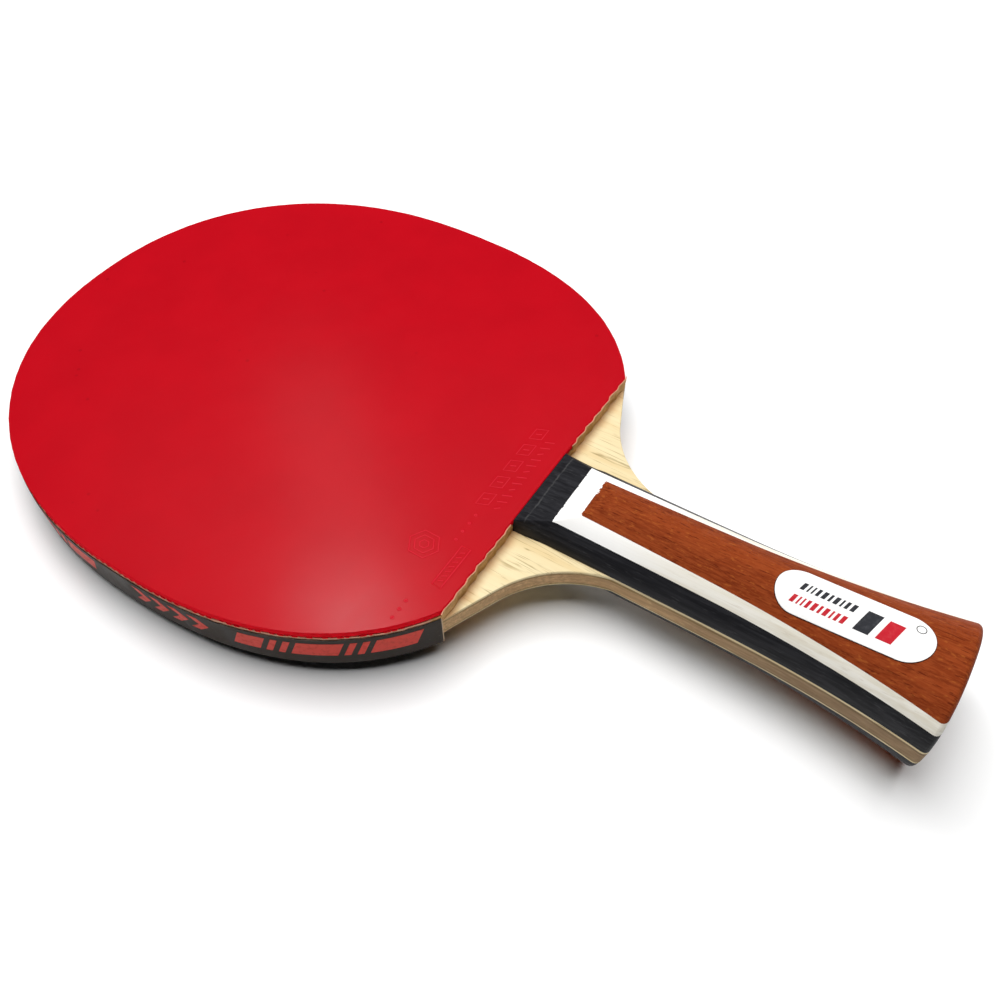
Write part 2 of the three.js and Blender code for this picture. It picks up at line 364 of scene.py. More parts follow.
class Finish:
    """A Principled material with short calls that add its texture nodes."""

    def __init__(self, name, **numbers):
        self.material = bpy.data.materials.new(name)
        self.material.use_nodes = True
        self.tree = self.material.node_tree
        self.surface = self.tree.nodes["Principled BSDF"]
        for socket, value in numbers.items():
            self.surface.inputs[socket.replace("_", " ")].default_value = value

    def node(self, kind, inputs=(), **settings):
        made = self.tree.nodes.new("ShaderNode" + kind)
        for name, value in settings.items():
            setattr(made, name, value)
        for socket, value in dict(inputs).items():
            if isinstance(value, bpy.types.NodeSocket):
                self.tree.links.new(value, made.inputs[socket])
            else:
                made.inputs[socket].default_value = value
        return made

    def place(self):
        """Object coordinates in metres."""
        return self.node("TexCoord").outputs["Object"]

    def stretched(self, stretch):
        """Coordinates times stretch, which is one number or one for each axis."""
        scale = stretch if isinstance(stretch, tuple) else (stretch,) * 3
        return self.node("Mapping", {"Vector": self.place(), "Scale": scale}).outputs[0]

    def axis(self, index):
        return self.node("SeparateXYZ", {"Vector": self.place()}).outputs[index]

    def height(self):
        """Distance from the middle plane of the blade."""
        return self.maths("ABSOLUTE", self.axis(2))

    def noise(self, stretch, detail=3.0, roughness=0.55, distortion=0.0):
        """Noise from 0 to 1 whose features measure about 1 / stretch metres along each axis."""
        return self.node("TexNoise", {
            "Vector": self.stretched(stretch), "Scale": 1.0, "Detail": detail,
            "Roughness": roughness, "Distortion": distortion}).outputs["Fac"]

    def cells(self, density):
        """Distance to the nearest of scattered points, in units of their spacing."""
        return self.node("TexVoronoi", {
            "Vector": self.stretched(density), "Scale": 1.0}).outputs["Distance"]

    def range(self, value, low, high, to_low=0.0, to_high=1.0):
        return self.node("MapRange", {
            "Value": value, "From Min": low, "From Max": high, "To Min": to_low, "To Max": to_high},
            interpolation_type="SMOOTHSTEP").outputs[0]

    def maths(self, operation, first, second=0.0):
        return self.node("Math", {0: first, 1: second}, operation=operation).outputs[0]

    def blend(self, share, first, second, strength=None):
        """Colours mixed by share times strength. A colour is a socket or three linear values."""
        if strength is not None:
            share = self.maths("MULTIPLY", share, strength)
        first, second = [(*c, 1.0) if isinstance(c, tuple) else c for c in (first, second)]
        return self.node("Mix", {0: share, 6: first, 7: second}, data_type="RGBA").outputs[2]

    def bump(self, height, distance, strength=1.0):
        made = self.node("Bump", {"Height": height, "Distance": distance, "Strength": strength})
        earlier = self.surface.inputs["Normal"]
        if earlier.is_linked:
            self.tree.links.new(earlier.links[0].from_socket, made.inputs["Normal"])
        self.tree.links.new(made.outputs[0], earlier)

    def paint(self, colour, roughness=None):
        self.tree.links.new(colour, self.surface.inputs["Base Color"])
        if roughness is not None:
            self.tree.links.new(roughness, self.surface.inputs["Roughness"])
        return self.material


def rubber(name, base, wear_and_highlight, dust, rough):
    """Smooth pimples-in rubber: satin, with a few specks, and its raised marks painted lighter: a painted
    highlight for the light they catch.
    """
    finish = Finish(name, Specular_IOR_Level=0.24)
    mottle = finish.noise(60, detail=4)
    specks = finish.range(finish.cells(170), 0.05, 0.12, 1.0, 0.0)
    rare = finish.range(finish.noise(45, detail=1), 0.58, 0.64)
    darker = tuple(0.94 * part for part in base)
    colour = finish.blend(finish.range(mottle, 0.3, 0.7), darker, base)
    speck = tuple(0.5 * part for part in base)
    colour = finish.blend(finish.maths("MULTIPLY", specks, rare), colour, speck, 0.4)
    film = finish.range(finish.noise(22, detail=5, roughness=0.7), 0.50, 0.90, 0.0, 0.01)
    colour = finish.blend(film, colour, dust)
    # Painted highlight: the raised marks are painted the lighter colour, standing for the light their
    # slopes catch.
    painted_mark_highlight = finish.range(
        finish.height(), SHEET_TOP + 0.00001, SHEET_TOP + MARK_HEIGHT * 0.8, 0.0, 0.75)
    colour = finish.blend(painted_mark_highlight, colour, wear_and_highlight)
    streaks = finish.noise((300, 90, 200), detail=3)
    finish.bump(finish.noise(500, detail=2), 0.00002, 0.2)
    finish.bump(finish.noise(70, detail=2), 0.0002, 0.10)
    return finish.paint(colour, finish.range(streaks, 0.2, 0.8, rough - 0.015, rough + 0.02))


def cut_rubber(name, light, dark):
    """The matt face the knife leaves on a rubber's edge."""
    finish = Finish(name, Roughness=0.9, Specular_IOR_Level=0.04)
    smears = finish.range(finish.noise((700, 700, 1500), detail=3), 0.35, 0.65)
    colour = finish.blend(smears, dark, light)
    finish.bump(finish.noise((1500, 1500, 2500), detail=2), 0.00003, 0.4)
    return finish.paint(colour)


def sponge():
    """Dense orange-peach foam. Beside the handle its cut face is painted darker olive, painted shade with
    some glue, and the top band of its lip is painted plain peach, lighter than the olive, as painted
    light on its top.
    """
    finish = Finish("sponge", Roughness=0.95, Specular_IOR_Level=0.1)
    pores = finish.cells(2600)
    tint = finish.noise(400, detail=4)
    colour = finish.blend(finish.range(tint, 0.3, 0.7), (0.72, 0.34, 0.21), (0.92, 0.52, 0.36))
    # Painted shade: beside the handle the cut face is painted darker olive, with some glue.
    cut_face_shade = finish.range(finish.axis(0), HANDLE_LENGTH + 0.0012, HANDLE_LENGTH + 0.0018, 1.0, 0.0)
    olive = finish.blend(finish.range(tint, 0.35, 0.65), (0.52, 0.29, 0.105), (0.70, 0.42, 0.19))
    colour = finish.blend(cut_face_shade, colour, olive)
    # Painted light: the top band of the lip is painted plain peach, lighter than the olive below it,
    # where its top catches the light.
    lip_top = SHEET_TOP - LIP_DROP
    lip = finish.range(finish.height(), lip_top - 0.00016, lip_top - 0.00004)
    colour = finish.blend(lip, colour, (0.74, 0.36, 0.24))
    colour = finish.blend(finish.range(pores, 0.15, 0.4, 0.4, 0.0), colour, (0.30, 0.12, 0.05))
    finish.bump(pores, 0.00010, 0.6)
    return finish.paint(colour)


class Wood(Finish):
    """A finish whose grain runs along the handle."""

    def streaks(self, width, length, detail=3.0):
        return self.noise((1 / length, 1 / width, 1 / width), detail=detail, roughness=0.6)

    def lines(self, width, length, sharpness, distortion=0.6):
        """Thin growth lines: where broad streaks cross their own middle value."""
        source = self.noise((1 / length, 1 / width, 1 / width), detail=2, distortion=distortion)
        away = self.maths("ABSOLUTE", self.maths("SUBTRACT", source, 0.5))
        return self.range(away, 0.0, sharpness, 1.0, 0.0)

    def fibres(self, depth, strength=0.6):
        self.bump(self.streaks(0.00035, 0.008), depth, strength)


def pale_ply():
    """Light outer veneer, cream with thin olive growth lines, and by the rubber a warm brown band:
    painted shadow of the rubber with its red bounce light, and some glue.
    """
    finish = Wood("pale_ply", Specular_IOR_Level=0.15)
    colour = finish.blend(finish.range(finish.streaks(0.005, 0.08), 0.35, 0.7),
                          (0.795, 0.68, 0.425), (0.72, 0.565, 0.31))
    broken = finish.range(finish.streaks(0.0015, 0.012), 0.42, 0.60)
    lines = finish.maths("MULTIPLY", finish.lines(0.0022, 0.045, 0.030), broken)
    colour = finish.blend(lines, colour, (0.30, 0.215, 0.09), 0.75)
    dashes = finish.range(finish.streaks(0.0009, 0.010, 2), 0.62, 0.72)
    colour = finish.blend(dashes, colour, (0.42, 0.32, 0.15), 0.28)
    # Painted shadow: a ragged warm brown band on the wood beside the rubber stands for its shadow and red
    # bounce light, with some glue.
    ragged = finish.maths("MULTIPLY", finish.noise((40, 300, 40), detail=3), 0.0030)
    reach = finish.maths("ADD", finish.axis(0), ragged)
    tint = finish.range(reach, HANDLE_LENGTH - 0.0018, HANDLE_LENGTH + 0.0024, 0.0, 0.85)
    colour = finish.blend(tint, colour, (0.58, 0.30, 0.125))
    finish.fibres(0.00003, 0.4)
    return finish.paint(colour, finish.range(finish.streaks(0.001, 0.02), 0.3, 0.7, 0.5, 0.65))


def edge_ply(name, light, dark, fleck):
    """A ply seen by its sawn and sanded edge, darker with handling towards the butt."""
    finish = Wood(name, Specular_IOR_Level=0.12)
    colour = finish.blend(finish.range(finish.streaks(0.0008, 0.010, 4), 0.35, 0.65), dark, light)
    spots = finish.range(finish.noise((450, 900, 1700), detail=2), 0.56, 0.70)
    colour = finish.blend(spots, colour, fleck, 0.6)
    cross = finish.range(finish.noise((120, 120, 500), detail=3), 0.42, 0.65, 0.0, 0.55)
    colour = finish.blend(cross, colour, dark)
    handled = finish.range(finish.axis(0), 0.020, 0.085, 0.60, 0.0)
    colour = finish.blend(handled, colour, (0.17, 0.125, 0.085))
    finish.fibres(0.00008)
    return finish.paint(colour, finish.range(finish.streaks(0.001, 0.01), 0.3, 0.7, 0.6, 0.8))


def black_wood():
    """Dyed veneer laminate: near black, with greyish open pores and a lighter grey line on the front
    ridge, partly wear and partly a painted highlight.
    """
    finish = Wood("black_wood", Specular_IOR_Level=0.2)
    colour = finish.blend(finish.range(finish.streaks(0.0008, 0.02, 4), 0.35, 0.7),
                          (0.0105, 0.0105, 0.0125), (0.025, 0.025, 0.0285))
    pores = finish.range(finish.streaks(0.0004, 0.0035), 0.56, 0.74)
    colour = finish.blend(pores, colour, (0.060, 0.060, 0.064), 0.5)
    # The lighter line along the top of the ridge is partly wear and partly a painted highlight on the
    # ridge.
    waver = finish.maths("MULTIPLY", finish.noise((60, 330, 60), detail=4), 0.0014)
    from_ridge = finish.maths("SUBTRACT", finish.maths("ADD", finish.axis(0), waver), RIDGE_X + 0.0007)
    wear_and_highlight = finish.range(finish.maths("ABSOLUTE", from_ridge), 0.00005, 0.00030, 1.0, 0.0)
    upper = finish.range(finish.height(), RIDGE_Z - 0.0006, RIDGE_Z - 0.0003)
    patchy = finish.range(finish.noise((200, 700, 200), detail=3), 0.32, 0.62, 0.25, 0.8)
    wear_and_highlight = finish.maths("MULTIPLY", wear_and_highlight, upper)
    colour = finish.blend(wear_and_highlight, colour, (0.062, 0.062, 0.062), patchy)
    finish.fibres(0.00006)
    return finish.paint(colour, finish.range(finish.streaks(0.001, 0.012), 0.3, 0.7, 0.42, 0.6))


def white_wood():
    """Bleached veneer laminate: creamy with faint warm grain, painted near white towards the front as
    painted light on its side faces there.
    """
    finish = Wood("white_wood", Specular_IOR_Level=0.15)
    colour = finish.blend(finish.range(finish.streaks(0.0012, 0.03, 4), 0.35, 0.7),
                          (0.88, 0.85, 0.77), (0.76, 0.71, 0.59))
    dashes = finish.range(finish.streaks(0.0004, 0.006), 0.58, 0.72)
    colour = finish.blend(dashes, colour, (0.55, 0.47, 0.36), 0.4)
    # Painted light: towards the front the colour is painted near white, standing for light on the side
    # faces there.
    painted_front_light = finish.range(finish.axis(0), 0.055, 0.082, 0.0, 0.92)
    colour = finish.blend(painted_front_light, colour, (0.97, 0.965, 0.95))
    torn = finish.range(finish.noise((60, 1500, 60), detail=3), 0.50, 0.75, 0.0, 0.00035)
    front = finish.range(finish.maths("ADD", finish.axis(0), torn), RAMP_LOW_X, RAMP_LOW_X + 0.00008)
    colour = finish.blend(front, colour, (0.022, 0.022, 0.025))
    finish.fibres(0.00004)
    return finish.paint(colour, finish.range(finish.streaks(0.001, 0.02), 0.3, 0.7, 0.5, 0.65))


def red_wood():
    """Padouk-like wood: fine fibres, short dark pores, orange flecks, torn at its front edge."""
    finish = Wood("red_wood", Specular_IOR_Level=0.12)
    colour = finish.blend(finish.range(finish.streaks(0.0022, 0.05, 4), 0.3, 0.7),
                          (0.160, 0.0245, 0.0060), (0.250, 0.0440, 0.0108))
    fine = finish.range(finish.streaks(0.00035, 0.003), 0.40, 0.62)
    colour = finish.blend(fine, colour, (0.30, 0.062, 0.0165), 0.6)
    flecks = finish.range(finish.noise((600, 1500, 1500), detail=2), 0.58, 0.72)
    colour = finish.blend(flecks, colour, (0.39, 0.105, 0.022), 0.5)
    pores = finish.range(finish.streaks(0.00045, 0.0032), 0.57, 0.68)
    colour = finish.blend(pores, colour, (0.085, 0.0095, 0.0030), 0.75)
    coarse_teeth = finish.range(finish.noise((60, 1100, 60), detail=3), 0.3, 0.7, 0.0, 0.0009)
    fine_teeth = finish.range(finish.noise((60, 4000, 60), detail=1), 0.4, 0.6, 0.0, 0.00035)
    reach = finish.maths("ADD", finish.axis(0), finish.maths("ADD", coarse_teeth, fine_teeth))
    pale = finish.range(reach, RAMP_HIGH_X + 0.0005, RAMP_HIGH_X + 0.0006)
    colour = finish.blend(pale, colour, (0.96, 0.95, 0.93), 0.95)
    finish.fibres(0.00009, 0.8)
    return finish.paint(colour, finish.range(finish.streaks(0.001, 0.012), 0.3, 0.7, 0.55, 0.7))


def tape():
    """Woven-backed edge tape: dark brownish grey, satin, scuffed."""
    finish = Finish("tape", Specular_IOR_Level=0.12)
    shade = finish.noise((260, 260, 90), detail=4)
    colour = finish.blend(finish.range(shade, 0.3, 0.7),
                          (0.018, 0.0120, 0.0075), (0.032, 0.0220, 0.0140))
    scuffs = finish.range(finish.noise((500, 500, 2400), detail=3), 0.62, 0.74, 0.0, 0.5)
    colour = finish.blend(scuffs, colour, (0.11, 0.095, 0.08))
    frayed = finish.maths("ADD", finish.axis(2), finish.maths(
        "MULTIPLY", finish.noise((1500, 1500, 60), detail=2), 0.0004))
    top = finish.range(frayed, TAPE_TOP - 0.0001, TAPE_TOP + 0.0001, 0.0, 0.7)
    colour = finish.blend(top, colour, (0.20, 0.15, 0.11))
    cut_end = finish.range(finish.axis(0), HANDLE_LENGTH + 0.0001, HANDLE_LENGTH + 0.0003, 1.0, 0.0)
    across = finish.maths("ABSOLUTE", finish.axis(1))
    shoulder_y = head_half_width(HANDLE_LENGTH)
    lining = finish.range(across, shoulder_y + 0.00030, shoulder_y + 0.00038, 1.0, 0.0)
    colour = finish.blend(cut_end, colour, (0.56, 0.40, 0.27), lining)
    finish.bump(finish.noise(1700, detail=2), 0.00004, 0.5)
    return finish.paint(colour, finish.range(shade, 0.3, 0.7, 0.38, 0.55))


def ink(name, base, wear_and_highlight):
    """Printed colour that is a little uneven and rubbed."""
    finish = Finish(name, Specular_IOR_Level=0.14)
    rubbed = finish.range(finish.noise(900, detail=4), 0.45, 0.75, 0.0, 0.55)
    colour = finish.blend(rubbed, base, wear_and_highlight)
    finish.bump(finish.noise(1700, detail=2), 0.00003, 0.3)
    return finish.paint(colour, finish.range(rubbed, 0.0, 0.5, 0.4, 0.6))


def label_paper():
    """Coated white paper, slightly soiled in patches."""
    finish = Finish("label_paper", Specular_IOR_Level=0.4)
    fibre = finish.noise(800, detail=4)
    colour = finish.blend(finish.range(fibre, 0.3, 0.7), (0.90, 0.89, 0.87), (0.96, 0.955, 0.945))
    soil = finish.range(finish.noise(160, detail=3), 0.55, 0.8, 0.0, 0.12)
    colour = finish.blend(soil, colour, (0.75, 0.68, 0.56))
    finish.bump(fibre, 0.00002, 0.3)
    return finish.paint(colour, finish.range(fibre, 0.3, 0.7, 0.3, 0.42))


# Rubbers ------------

CURVE_STEPS = 420
CUT_STEPS = 230


def beside_handle(y):
    """0 across the handle's front, 1 from a little way beside it."""
    return clamp((abs(y) - FRONT_HALF_WIDTH - 0.0004) / 0.0012)


def cut_edge_x(y, side):
    """The cut of a top sheet: straight across the handle's front and notched beside it.

    There the front sheet comes a touch past the handle's front, and the back one is set back from it.
    """
    phase = (y / SCALLOP_PITCH + 0.3 * wobble(y, 0.011, 1) + 0.2) % 1.0
    hollow = 1 - phase / 0.3 if phase < 0.3 else (phase - 0.3) / 0.7
    notch = SCALLOP_DEPTH * (0.65 + 0.7 * wobble(y, 0.006, 2)) * hollow
    rough = 0.00010 * abs(wobble(y, 0.0011, 3))
    place = notch - CUT_OVERHANG if side > 0 else notch + BACK_CUT_SETBACK
    return HANDLE_LENGTH + 0.00003 + rough + beside_handle(y) * place


def lip_edge_x(y, side):
    """The foam follows the cut just outside it, and stays clear of the handle's own front."""
    waver = 0.00005 * (1 + wobble(y, 0.0017, 11))
    least = HANDLE_LENGTH + 0.00004 - beside_handle(y) * (CUT_OVERHANG + LIP_DEPTH)
    return max(least, cut_edge_x(y, side) - LIP_DEPTH + waver)


def sheet_outline(curve_offset, cut_x, side):
    """A rubber's outline: round the head, then back along the cut by the handle."""
    loop = []
    for distance in spread(0, edge.length, CURVE_STEPS):
        loop.append(edge.at(distance, curve_offset(distance)))
    last, first = loop[-1], loop[0]
    for y in spread(last.y, first.y, CUT_STEPS)[1:-1]:
        loop.append(Vector((cut_x(y, side), y)))
    return loop


def shrunk(loop, inset):
    """Each point moved inwards along the normal of its neighbours."""
    moved = []
    for index, point in enumerate(loop):
        along = loop[(index + 1) % len(loop)] - loop[index - 1]
        if along.length < 1e-9:
            moved.append(point)
            continue
        along.normalize()
        moved.append(point + Vector((along.y, -along.x)) * inset)
    return moved


def loops_at(outline, levels):
    """The outline at each (height, inset), as points in space."""
    return [[(*point, height) for point in shrunk(outline, inset)] for height, inset in levels]


def add_pimples(form, top, bottom):
    """The rows of pimples near the sheet's edge, cut flush where the knife went through them."""
    row_pitch = PIMPLE_PITCH * sqrt(3) / 2
    rows = int(2 * HEAD_HALF_WIDTH / row_pitch) + 1
    columns = int((HEAD_TIP_X - HANDLE_LENGTH) / PIMPLE_PITCH) + 1
    for row in range(rows):
        y = -HEAD_HALF_WIDTH + row * row_pitch
        for column in range(columns):
            x = HANDLE_LENGTH + (column + 0.5 * (row % 2)) * PIMPLE_PITCH
            if x > HEAD_TIP_X - 0.0002:
                continue
            room = head_half_width(x) - abs(y)
            near_cut = x - HANDLE_LENGTH < PIMPLE_MARGIN
            if room < -PIMPLE_HEAD or (room > PIMPLE_MARGIN * edge_steepness(x) and not near_cut):
                continue
            loops = []
            for height, radius in ((top, PIMPLE_FOOT), (bottom, PIMPLE_HEAD)):
                loops.append([clipped(x, y, radius, step, height) for step in range(PIMPLE_SIDES)])
            form.loft(loops)


def edge_steepness(x):
    """How much further the edge is across than square to itself."""
    step = 0.0005
    rise = (head_half_width(min(x + step, HEAD_TIP_X)) - head_half_width(x - step)) / (2 * step)
    return sqrt(1 + min(rise * rise, 400.0))


def clipped(x, y, radius, step, height):
    """A point round a pimple, kept inside the sheet's outline."""
    turn = 2 * pi * step / PIMPLE_SIDES
    at_x = max(x + radius * cos(turn), HANDLE_LENGTH + PIMPLE_CLIP)
    at_x = min(at_x, HEAD_TIP_X - 0.0001)
    limit = head_half_width(at_x) - 0.00004
    at_y = y + radius * sin(turn)
    return at_x, copysign(min(abs(at_y), max(limit, 0.0)), at_y), height


def add_stroke(form, path, closed=False):
    """A low rounded ridge of moulded rubber along a path on the playing face."""
    loops = []
    count = len(path)
    for index, point in enumerate(path):
        before = path[index - 1] if closed or index else path[0]
        after = path[(index + 1) % count] if closed or index < count - 1 else path[-1]
        along = (Vector(after) - Vector(before)).normalized()
        aside = Vector((-along.y, along.x)) * MARK_WIDTH / 2
        loop = []
        for share in spread(-1, 1, 8):
            at = Vector(point) + aside * share
            rise = 1.12 * cos(share * pi / 2) ** 1.5 - 0.12
            loop.append((at.x, at.y, SHEET_TOP + MARK_HEIGHT * rise))
        loops.append(loop)
    form.loft(loops, ring=closed)


def moulded_marks(form):
    """Low moulded marks where a rubber carries its own: boxes, bars, hexagons and dots."""
    def ring(x, y, radius, sides):
        turns = [2 * pi * k / sides for k in range(sides)]
        path = [(x + radius * cos(turn), y + radius * sin(turn)) for turn in turns]
        add_stroke(form, path, closed=True)

    def bar(x, y, reach, lean):
        add_stroke(form, [(x - reach, y - lean), (x, y), (x + reach, y + lean)])

    def box(x, y, half_x, half_y, lean=0.0):
        path = [(x - half_x, y - half_y - lean), (x + half_x, y - half_y + lean),
                (x + half_x, y + half_y + lean), (x - half_x, y + half_y - lean)]
        add_stroke(form, path, closed=True)

    for index in range(5):
        y = 0.0116 - 0.0062 * index
        box(0.1090, y, 0.00145, 0.0019, 0.0006)
        bar(0.1090, y, 0.0007, 0.0003)
    for index in range(12):
        bar(0.1052, 0.0126 - 0.00225 * index, 0.00115 if index % 3 else 0.0006, 0.0005)
    box(0.1049, 0.0325, 0.0012, 0.0062)
    for index in range(7):
        bar(0.1049, 0.0280 + 0.0015 * index, 0.00055, 0.00035)
    for radius in (0.0012, 0.0026, 0.0040):
        ring(0.1140, 0.0306, radius, 6)
    for y in (0.0455, 0.0481, 0.0507, 0.0171, 0.0199, 0.0227, 0.0255):
        ring(0.1084, y, 0.00028, 10)


def knife_line(inset, size, seed):
    """Offsets along the head's edge, a little uneven, for a layer cut with a knife."""
    return lambda distance: -inset - 0.00009 * (1 + wobble(distance, size, seed))


def build_top_sheet(name, side, material, wall_material, slot, node):
    """side is 1 for the red front and -1 for the black back."""
    outline = sheet_outline(knife_line(0.00006, 0.0021, 4 + side), cut_edge_x, side)
    body_bottom = SHEET_TOP - SHEET_BODY
    levels = [(body_bottom, 0.00005), (body_bottom + 0.0001, 0.0)]
    for turn in spread(0, pi / 2, 4):
        levels.append((SHEET_TOP - SHEET_SOFTENING * (1 - sin(turn)),
                       SHEET_SOFTENING * (1 - cos(turn))))
    form = Form()
    form.loft(loops_at(outline, [(side * height, inset) for height, inset in levels]))
    add_pimples(form, side * (body_bottom + 0.0001), side * (SHEET_BOTTOM - 0.00005))
    if side > 0:
        moulded_marks(form)
    form.piece(name, material, slot, node, crease=40, wall_material=wall_material)


def build_sponge(name, side, material, node):
    """The foam layer, with a thin lip up the cut face of its sheet on both sides of the handle."""
    outline = sheet_outline(knife_line(0.00002, 0.0009, 8 + side), lip_edge_x, side)
    levels = [(BLADE_HALF, 0.00005), (BLADE_HALF + 0.0006, 0.0), (SHEET_BOTTOM, 0.0)]
    form = Form()
    form.loft(loops_at(outline, [(side * height, inset) for height, inset in levels]))
    lip_low, lip_high = side * (SHEET_BOTTOM - 0.0002), side * (SHEET_TOP - LIP_DROP)
    lip_end = head_half_width(HANDLE_LENGTH + 0.0004) - 0.0002
    soft = 0.00008
    for way in (-1, 1):
        loops = []
        for y in spread(way * (FRONT_HALF_WIDTH + LIP_START), way * lip_end, 140):
            front, back = lip_edge_x(y, side), cut_edge_x(y, side) - 0.00002
            loops.append([(front, y, lip_low), (front, y, lip_high - side * soft),
                          (front + soft, y, lip_high), (back, y, lip_high), (back, y, lip_low)])
        form.loft(loops)
    form.piece(name, material, "sponge", node)


# Blade ------------

EDGE_SOFTENING = 0.00042
NECK_STEPS = 40


def blade_stations():
    """The x stations from the butt up to the shoulder."""
    grip = spread(BUTT_ROUND, NECK_ARC_X, 44)[1:]
    neck = []
    for turn in spread(-pi / 2, NECK_ARC_END, NECK_STEPS)[1:]:
        neck.append(NECK_ARC_X + NECK_ARC_RADIUS * cos(turn))
    flank = spread(neck[-1], HANDLE_LENGTH, 10)[1:]
    return butt_stations() + grip + neck + flank


def ply_loop(z, softening):
    """One level of a ply: the handle's tongue, the neck softened by sandpaper, and the head."""
    near = []
    for x in blade_stations():
        tongue = section_half_width(x, z)
        neck = neck_half_width(x) - softening * clamp((HANDLE_LENGTH - x) / 0.001)
        near.append((x, max(tongue, neck)))
    loop = [(x, y, z) for x, y in near]
    for distance in spread(0, edge.length, CURVE_STEPS)[1:-1]:
        point = edge.at(distance)
        loop.append((point.x, point.y, z))
    return loop + [(x, -y, z) for x, y in reversed(near)]


def build_ply(name, bottom, top, recess, material, slot, node, soften_side=0):
    """soften_side is 1 or -1 where that face is the outside of the blade."""
    levels = [(bottom, recess), (top, recess)]
    if soften_side:
        inside, outside = (bottom, top)[::soften_side]
        levels = [(inside, 0.0)]
        for turn in spread(0, pi / 2, 5):
            levels.append((outside - soften_side * EDGE_SOFTENING * (1 - sin(turn)),
                           EDGE_SOFTENING * (1 - cos(turn))))
    form = Form()
    form.loft([ply_loop(z, softening) for z, softening in levels])
    form.piece(name, material, slot, node)


# Edge tape ------------

CREASES = (0.064, 0.131, 0.243, 0.356)


def tape_point(distance, height, offset):
    """A point on the tape's outside, offset along its normal, with its dents and creases."""
    dent = 0.00004 * wobble(distance, 0.016, 13) + 0.00003 * wobble(distance + 9 * height, 0.006, 14)
    for index, crease in enumerate(CREASES):
        away = distance - crease - 0.35 * height * (-1) ** index
        dent -= 0.00009 * exp(-(away / 0.0004) ** 2)
    point = edge.at(distance, TAPE_GLUE + TAPE_THICKNESS - 0.00006 + dent + offset)
    return point.x, point.y, height


def build_tape(material):
    loops = []
    for distance in spread(0, edge.length, 900):
        top = TAPE_TOP - 0.00026 + 0.00012 * wobble(distance, 0.0012, 15)
        top += 0.00014 * wobble(distance, 0.02, 16)
        bottom = TAPE_BOTTOM + 0.0002 + 0.00012 * wobble(distance, 0.004, 17)
        outside = [tape_point(distance, z, 0.0) for z in spread(bottom, top, 9)]
        outside[0] = tape_point(distance, bottom + 0.00001, -0.00008)
        outside[-1] = tape_point(distance, top, -0.00008)
        inner = edge.at(distance, TAPE_GLUE)
        inside = [(inner.x, inner.y, z) for z in (top, bottom)]
        loops.append(outside + inside)
    form = Form()
    form.loft(loops)
    form.piece("edge_tape_band", material, "edge_tape", "edge_tape", crease=40)


LONG_BAR = 0.0108
SHORT_BAR = 0.0016
LAST_BAR = 0.0066
BARS = (LONG_BAR, SHORT_BAR, SHORT_BAR, LONG_BAR, SHORT_BAR, SHORT_BAR, LAST_BAR)
BAR_LEAN = 0.0020
BAR_GAP = 0.0014
CHEVRONS = 4
CHEVRON_WIDTH = 0.0026
CHEVRON_LEAN = 0.0028
CHEVRON_PITCH = 0.0056
CHEVRON_BREAK = 0.0075
MOTIF_START = 0.0065
MOTIF_PITCH = 0.086


def build_tape_print(material):
    """Slanted bars and chevrons, repeated round the head."""
    form = Form()
    low, high = TAPE_BOTTOM + 0.0039, TAPE_TOP - 0.0016

    def slab(start, width, from_z, to_z, lean, steps):
        corners = [(start, from_z), (start + width, from_z),
                   (start + width - lean, to_z), (start - lean, to_z)]
        shell(form, quad_rows(corners, steps, PRINT_STEPS), tape_point, PRINT_THICKNESS)

    start = MOTIF_START
    while start + MOTIF_PITCH < edge.length:
        at = start
        for width in BARS:
            slab(at, width, low, high, BAR_LEAN, max(2, int(width / 0.0008)))
            at += width + BAR_GAP
        at += CHEVRON_BREAK
        for index in range(CHEVRONS):
            for from_z in (low, high):
                slab(at, CHEVRON_WIDTH, from_z, (low + high) / 2, CHEVRON_LEAN, 4)
            at += CHEVRON_PITCH
        start += MOTIF_PITCH
    form.piece("edge_tape_print", material, "edge_tape")


# Handle ------------

WALL_STEPS = 12
FLAT_STEPS = 28
FRONT_STEP = 0.0003
CORNER_SOFTENING = 0.00028


def handle_stations(last_x):
    """The x stations of a laminate, with one on each corner of the shaped front."""
    grip = spread(BUTT_ROUND, CREST_START_X, 52)[1:]
    steps = max(2, round((last_x - CREST_START_X) / FRONT_STEP))
    front = spread(CREST_START_X, last_x, steps)[1:]
    for corner in (RAMP_LOW_X, RIDGE_X):
        nearest = min(range(len(front)), key=lambda i: abs(front[i] - corner))
        if abs(front[nearest] - corner) < FRONT_STEP:
            front[nearest] = corner
    return butt_stations() + grip + front


